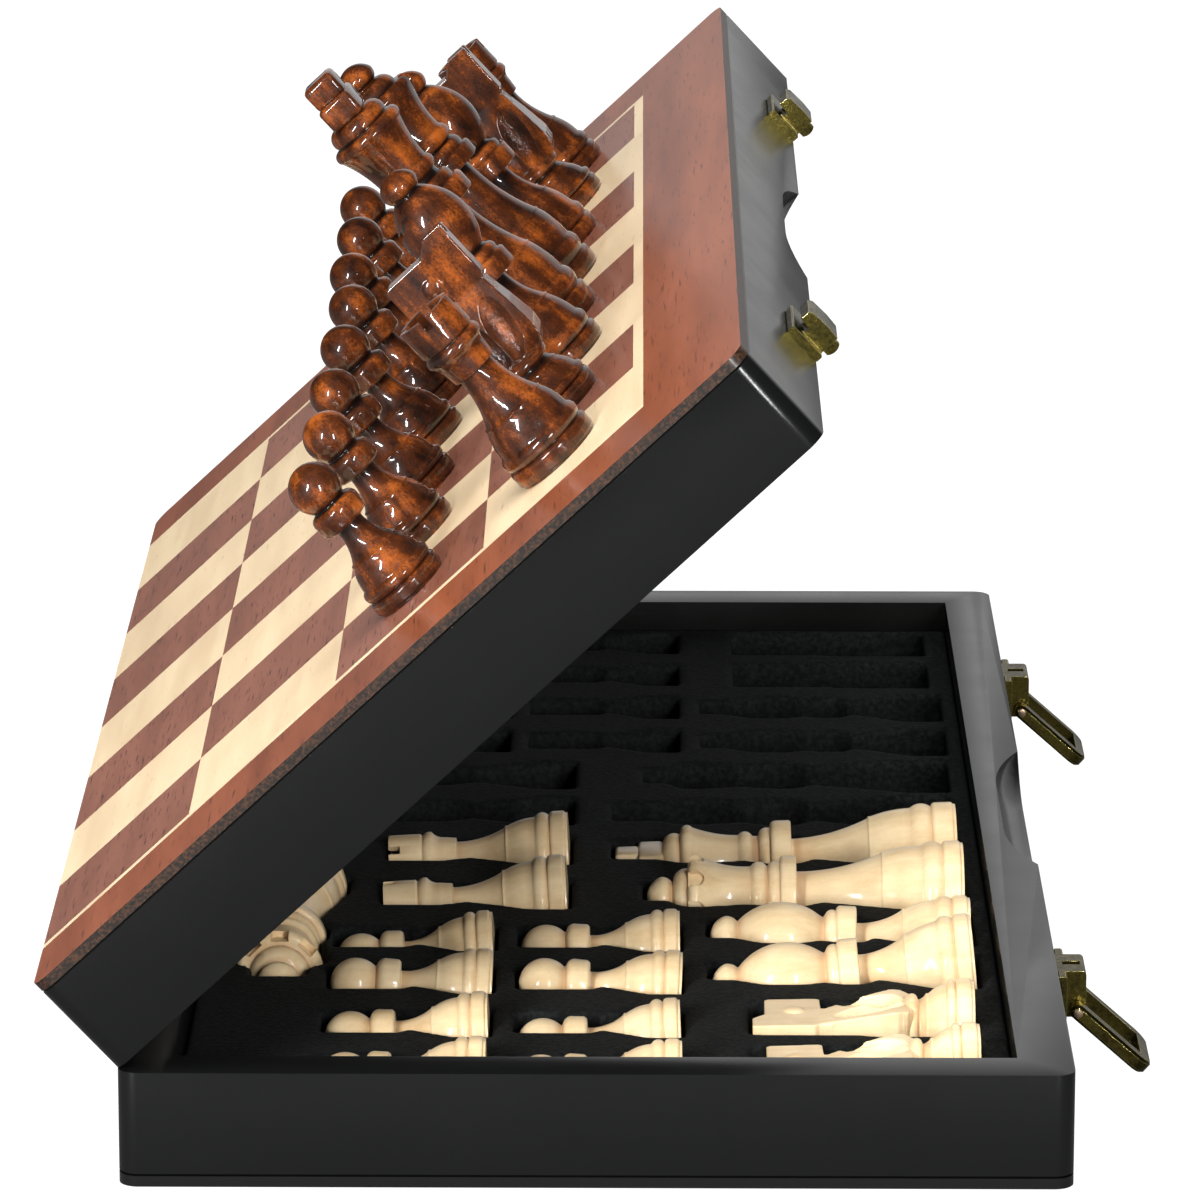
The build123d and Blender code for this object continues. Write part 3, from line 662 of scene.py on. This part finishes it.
def knight_head():
    """The horse's head: a plank with a wedge-shaped section, carved hollows, eyes and two ears."""
    side = [
        (-5.4, 12.6), (-6.9, 15.2), (-7.1, 17.0), (-6.4, 20.0), (-4.2, 25.5), (-1.9, 30.8), (-2.6, 31.4),
        (-8.6, 31.6), (-9.3, 32.3), (-9.3, 42.3), (-8.6, 43.0), (0.6, 43.0), (3.4, 45.6), (8.6, 45.6),
        (8.6, 32.8), (7.8, 31.8), (8.7, 25.0), (9.3, 18.6), (8.9, 15.8), (7.6, 13.8), (6.0, 12.6),
    ]
    front = [
        (-5.4, 12.6), (-6.1, 15.0), (-6.1, 17.0), (-5.2, 22.0), (-3.2, 32.0), (-2.9, 46.0),
        (2.9, 46.0), (3.2, 32.0), (5.2, 22.0), (6.1, 17.0), (6.1, 15.0), (5.4, 12.6),
    ]
    plank = prism(side, 8.0)
    wedge = moved(prism(front, 12.0), Matrix.Rotation(pi / 2, 4, "Z"))
    head = combined(plank, wedge, "INTERSECT")
    head = combined(head, block((7.4, 1.6, 4.6), (6.6, 0, 45.9)))
    for end in (-1, 1):
        mane_hollow = ball((3.5, 4.2, 9.6), (3.9, end * 7.1, 23.4), radians(9))
        chest_hollow = ball((3.2, 4.2, 8.6), (-2.2, end * 7.1, 22.6), radians(-12))
        eye = ball((2.2, 0.75, 2.2), (-1.4, end * 3.0, 37.0))
        head = combined(combined(head, mane_hollow), chest_hollow)
        head = combined(head, eye, "UNION")
    remesh = ("REMESH", {"mode": "VOXEL", "voxel_size": 0.24})
    smooth = ("SMOOTH", {"factor": 0.5, "iterations": 3})
    return with_modifiers(head, remesh, smooth, ("DECIMATE", {"ratio": 0.45}))


def carve_marks(mesh):
    """Mark the rough floors of the knight's hollows, where the cutter's marks show."""
    marks = mesh.attributes.new("carved", "FLOAT", "POINT")
    for i, vertex in enumerate(mesh.vertices):
        x, y, z = vertex.co
        plank_side = 6.0 - (z - 17.0) * 0.18
        inside = min(1.0, max(0.0, (plank_side - abs(y)) / 0.5 - 0.6))
        near = 1.0 if 13.5 < z < 31.5 and -4.5 < x < 8.2 and abs(y) > 1.0 else 0.0
        marks.data[i].value = inside * near


# The recess mark sets where a piece's grooves get their painted shade and stain.
def mark_recess(mesh, outline):
    heights, recess = recess_along(outline)
    marks = mesh.attributes.new("recess", "FLOAT", "POINT")
    for i, vertex in enumerate(mesh.vertices):
        marks.data[i].value = float(np.interp(vertex.co.z, heights, recess))


def felt_disc(radius):
    outline = np.array([(0, 0), (radius - 0.5, 0), (radius - 0.45, 0.1), (radius - 0.45, FELT + 0.1),
                        (0, FELT + 0.1)])
    return turned(outline)


def chess_mesh(kind):
    """A piece's whole mesh in metres, wood on slot 0 and felt on slot 1."""
    outline = {"king": KING, "queen": QUEEN, "bishop": BISHOP, "rook": ROOK,
               "pawn": PAWN, "knight": KNIGHT_FOOT}[kind]
    line = softened(drawn(outline), 0.16)
    body = turned(thinned(line, 0.012))
    if kind == "king":
        body = gathered(body, king_cross())
    elif kind == "queen":
        body = queen_notches(body)
    elif kind == "bishop":
        body = bishop_slit(body)
    elif kind == "rook":
        body = rook_slots(body)
    elif kind == "knight":
        body = gathered(body, knight_head())
    mark_recess(body, line)
    if kind == "knight":
        carve_marks(body)
    disc = felt_disc(FOOT_RADIUS[kind])
    for polygon in disc.polygons:
        polygon.material_index = 1
    disc.materials.append(None)
    disc.materials.append(None)
    whole = gathered(body, disc)
    whole.transform(Matrix.Scale(MM, 4))
    whole.shade_smooth()
    whole.set_sharp_from_angle(angle=radians(40))
    whole.name = kind + "_shape"
    return whole


KINDS = ("king", "queen", "bishop", "knight", "rook", "pawn")
CHESS = {kind: chess_mesh(kind) for kind in KINDS}

# In degrees: how far each lying piece's head hangs below its foot, and the pieces that lie on
# another side than the rest, by their turn about their own axis.
DROOP = {"king": 2.1, "queen": 0.6, "bishop_1": 5.6, "bishop_2": -1.8, "knight_1": 0.6,
         "knight_2": -0.3, "rook_1": 4.1, "rook_2": 3.4, "pawn_1": 0.4, "pawn_2": 0.6, "pawn_3": 2.6,
         "pawn_4": 2.4, "pawn_5": -2.9, "pawn_6": -2.3, "pawn_7": 0.8, "pawn_8": 4.3}
TURNED = {"knight_1": 90, "knight_2": 90, "rook_2": 225}


def coloured(mesh, *materials):
    made = mesh.copy()
    made.materials.clear()
    for material in materials:
        made.materials.append(material)
    return made


LIGHT = {kind: coloured(mesh, BOXWOOD, BROWN_FELT) for kind, mesh in CHESS.items()}
DARK = {kind: coloured(mesh, DARKWOOD, GREEN_FELT) for kind, mesh in CHESS.items()}


def kind_of(node):
    return next(kind for kind in KINDS if kind in node)


def lying_matrix(node):
    """Where a lying piece's foot is and which way it points, from its CAD solid's box."""
    name = node.split("_", 1)[1].replace("spare_", "")
    low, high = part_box(node)
    radius = FOOT_RADIUS[kind_of(node)] * MM
    droop = radians(DROOP[name])
    inset = radius * abs(sin(droop))
    middle = (low + high) / 2
    z = high.z - radius * cos(droop)
    if "spare" not in node:
        place, heading = Vector((high.x - inset, middle.y, z)), pi
    elif middle.y < 0:
        place, heading = Vector((middle.x, high.y - inset, z)), -pi / 2
    else:
        place, heading = Vector((middle.x, low.y + inset, z)), pi / 2
    spin = Matrix.Rotation(heading, 4, "Z") @ Matrix.Rotation(pi / 2 + droop, 4, "Y")
    return Matrix.Translation(place) @ spin @ Matrix.Rotation(radians(TURNED.get(name, 180)), 4, "Z")


def standing_matrix(node):
    """Where a piece stands on the open lid, from its CAD solid's box."""
    low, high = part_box(node)
    across = Vector((cos(LID_OPEN), 0, sin(LID_OPEN)))
    lean = Vector((-sin(LID_OPEN), 0, cos(LID_OPEN)))
    board = HINGE + lean * HINGE.z
    radius = FOOT_RADIUS[kind_of(node)] * MM
    rim = radius * cos(LID_OPEN) - FOOT_EDGE * MM * sin(LID_OPEN)
    along = (high.x - rim - board.x) / cos(LID_OPEN)
    foot_at = board + across * along
    foot_at.y = (low.y + high.y) / 2
    return Matrix.Translation(foot_at) @ Matrix.Rotation(-LID_OPEN, 4, "Y")


def chess_pieces():
    for node in sorted(frame["nodes"]):
        if not node.startswith(("light_", "dark_")):
            continue
        kind = kind_of(node)
        light = node.startswith("light_")
        piece = new_object(node + "_turned", (LIGHT if light else DARK)[kind])
        lying = light or "spare" in node
        piece.matrix_world = lying_matrix(node) if lying else standing_matrix(node)
        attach(piece, node)
        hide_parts(node)


# ---------------------------------------------------------------- the box

FLAT = radians(0.5)       # faces that turn less than this are one face
CORNER = radians(38)      # edges that turn more than this get a small bevel


def welded(node):
    """A CAD node's mesh with its split corners joined and its flat faces made whole."""
    return with_modifiers(
        frame["nodes"][node].data,
        ("WELD", {"merge_threshold": 1e-6}),
        ("DECIMATE", {"decimate_type": "DISSOLVE", "angle_limit": FLAT}),
    )


def tray_frame():
    """The base tray's four lacquered rails as one painted frame with softened edges."""
    ring = welded("base_hinge_rail")
    for node in ("base_latch_rail", "base_end_rails"):
        ring = combined(ring, welded(node), "UNION")
    return with_modifiers(
        ring,
        ("WELD", {"merge_threshold": 2e-6}),
        ("DECIMATE", {"decimate_type": "DISSOLVE", "angle_limit": FLAT}),
        ("BEVEL", {"width": 0.32 * MM, "segments": 3, "limit_method": "ANGLE", "angle_limit": CORNER}),
    )


def closed_to_open():
    """Base to lid: over the mating plane, then up about the hinge."""
    over = Matrix.Translation((0, 0, 2 * HINGE.z)) @ Matrix.Diagonal((1, 1, -1, 1))
    swing = Matrix.Translation(HINGE) @ Matrix.Rotation(-LID_OPEN, 4, "Y") @ Matrix.Translation(-HINGE)
    return swing @ over


def frames():
    ring = tray_frame()
    ring.shade_smooth()
    ring.set_sharp_from_angle(angle=radians(35))
    for half, mesh in (("base", ring), ("lid", moved(ring, closed_to_open()))):
        piece = new_object(half + "_lacquered_frame", mesh)
        mesh.materials.clear()
        mesh.materials.append(LACQUER)
        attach(piece, half)
        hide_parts(*[f"{half}_{rail}" for rail in ("hinge_rail", "latch_rail", "end_rails")])


def paint(node, *materials):
    """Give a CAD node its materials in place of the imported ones."""
    mesh = frame["nodes"][node].data
    mesh.materials.clear()
    for material in materials:
        mesh.materials.append(material)


def boards():
    for half in ("base", "lid"):
        lid = half == "lid"
        paint(half + "_board_panel", mahogany(half + "_mahogany", lid))
        pale = veneer(half + "_maple", lid, (0.83, 0.66, 0.43), (0.74, 0.55, 0.34), (0.60, 0.42, 0.25),
                      0.66, 0.24)
        rose = veneer(half + "_rosewood", lid, (0.28, 0.115, 0.078), (0.20, 0.075, 0.048),
                      (0.085, 0.032, 0.024), 0.60, 0.24)
        paint(half + "_maple_inlay", pale)
        paint(half + "_dark_squares", rose)


def foam_pieces():
    """The foam insert and the lid's pad, with soft cut edges."""
    soft = (
        ("REMESH", {"mode": "VOXEL", "voxel_size": 0.9 * MM}),
        ("SMOOTH", {"factor": 0.5, "iterations": 4}),
        ("DECIMATE", {"ratio": 0.35}),
    )
    for node, body, name in (
        ("base_foam_insert", "base", "base_foam"),
        ("lid_foam_pad", "lid", "lid_foam"),
    ):
        mesh = with_modifiers(welded(node), *soft)
        mesh.materials.clear()
        mesh.materials.append(FOAM)
        mesh.shade_smooth()
        piece = new_object(name, mesh)
        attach(piece, body)
        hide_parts(node)


def crisp(node, width, main, edge=None):
    """Show a CAD node with small bevels on its sharp edges; an edge material goes on the bevels as a
    painted highlight.
    """
    piece = frame["nodes"][node]
    paint(node, main, edge or main)
    if edge:
        piece.data.shade_flat()
    else:
        piece.data.shade_smooth()
    weld = piece.modifiers.new("weld", "WELD")
    weld.merge_threshold = 1e-6
    flat = piece.modifiers.new("flat", "DECIMATE")
    flat.decimate_type = "DISSOLVE"
    flat.angle_limit = FLAT
    bevel = piece.modifiers.new("bevel", "BEVEL")
    bevel.width = width
    bevel.segments = 2
    bevel.limit_method = "ANGLE"
    bevel.angle_limit = CORNER
    bevel.material = 1 if edge else -1


def hardware():
    for node in ("latch_blocks", "lid_catches", "near_latch_loop", "far_latch_loop"):
        crisp(node, 0.22 * MM, BRASS, BRASS_EDGE_HIGHLIGHT)
    for node in ("base_hinge_leaves", "lid_hinge_leaves"):
        crisp(node, 0.15 * MM, BRASS, BRASS_EDGE_HIGHLIGHT)
    for node in ("hinge_pins", "catch_rivets", "base_hinge_screws", "lid_hinge_screws"):
        crisp(node, 0.12 * MM, STEEL)
    crisp("latch_pins", 0.12 * MM, COPPERY)


# ---------------------------------------------------------------- stage


def look_at(thing, point):
    thing.rotation_euler = (Vector(point) - thing.location).to_track_quat("-Z", "Y").to_euler()


def camera():
    """A long lens a metre and a half from the near end, looking a little down."""
    data = bpy.data.cameras.new("camera")
    data.sensor_width = 36
    data.lens = 218.8
    data.clip_end = 20
    seen = bpy.data.objects.new("camera", data)
    seen.location = (0.00781, -1.5661, 0.4812)
    pitch, yaw, roll = radians(14.67), radians(-0.30), radians(0.07)
    aim = Matrix.Rotation(-yaw, 3, "Z") @ Matrix.Rotation(pi / 2 - pitch, 3, "X")
    seen.rotation_euler = (aim @ Matrix.Rotation(roll, 3, "Z")).to_euler()
    bpy.context.scene.collection.objects.link(seen)
    bpy.context.scene.camera = seen


def softbox(name, place, target, width, height, power):
    data = bpy.data.lights.new(name, "AREA")
    data.shape = "RECTANGLE"
    data.size = width
    data.size_y = height
    data.energy = power
    light = bpy.data.objects.new(name, data)
    light.location = place
    look_at(light, target)
    bpy.context.scene.collection.objects.link(light)
    return light


def camera_share(tree, value):
    """A value for what the lens sees directly, and the linked or given one for everything else."""
    seen = tree.nodes.new("ShaderNodeLightPath").outputs["Is Camera Ray"]
    both = tree.nodes.new("ShaderNodeMath")
    both.operation = "MAXIMUM"
    feed(tree, both.inputs[0], value)
    tree.links.new(seen, both.inputs[1])
    return both.outputs[0]


def studio():
    """A white sweep behind and to the right, dark surroundings elsewhere, and three soft boxes."""
    world = bpy.data.worlds.new("studio")
    bpy.context.scene.world = world
    world.use_nodes = True
    tree = world.node_tree
    back = tree.nodes["Background"]
    back.inputs["Color"].default_value = (1, 1, 1, 1)
    direction = tree.nodes.new("ShaderNodeTexCoord").outputs["Generated"]
    dot = tree.nodes.new("ShaderNodeVectorMath")
    dot.operation = "DOT_PRODUCT"
    tree.links.new(direction, dot.inputs[0])
    dot.inputs[1].default_value = (0.30, 0.93, 0.12)
    spread = tree.nodes.new("ShaderNodeMapRange")
    spread.interpolation_type = "SMOOTHSTEP"
    for key, value in (("From Min", 0.74), ("From Max", 0.91), ("To Min", 0.035), ("To Max", 0.66)):
        spread.inputs[key].default_value = value
    tree.links.new(dot.outputs["Value"], spread.inputs["Value"])
    tree.links.new(camera_share(tree, spread.outputs[0]), back.inputs["Strength"])
    centre = (0, 0, 0.06)
    softbox("left_strip", (-0.75, -1.30, 0.48), centre, 0.09, 0.6, 26)
    softbox("right_strip", (0.50, -1.42, 0.48), centre, 0.07, 0.6, 15)
    overhead = softbox("overhead", (-0.30, -0.50, 1.5), centre, 1.3, 1.3, 40)
    overhead.visible_glossy = False


def floor():
    """A pale table that the lens sees as pure white."""
    mesh = mesh_from([(-3, -3, 0), (3, -3, 0), (3, 3, 0), (-3, 3, 0)], [(0, 1, 2, 3)])
    look = Shader("pale_floor", Base_Color=(0.12, 0.12, 0.12), Roughness=0.9)
    look.set("Emission Color", (1, 1, 1))
    look.set("Emission Strength", camera_share(look.tree, 0.0))
    ground = new_object("floor", mesh, look.material)
    ground.location.z = -0.0002


chess_pieces()
frames()
boards()
foam_pieces()
hardware()
camera()
studio()
floor()
bpy.context.scene.view_settings.view_transform = "Standard"
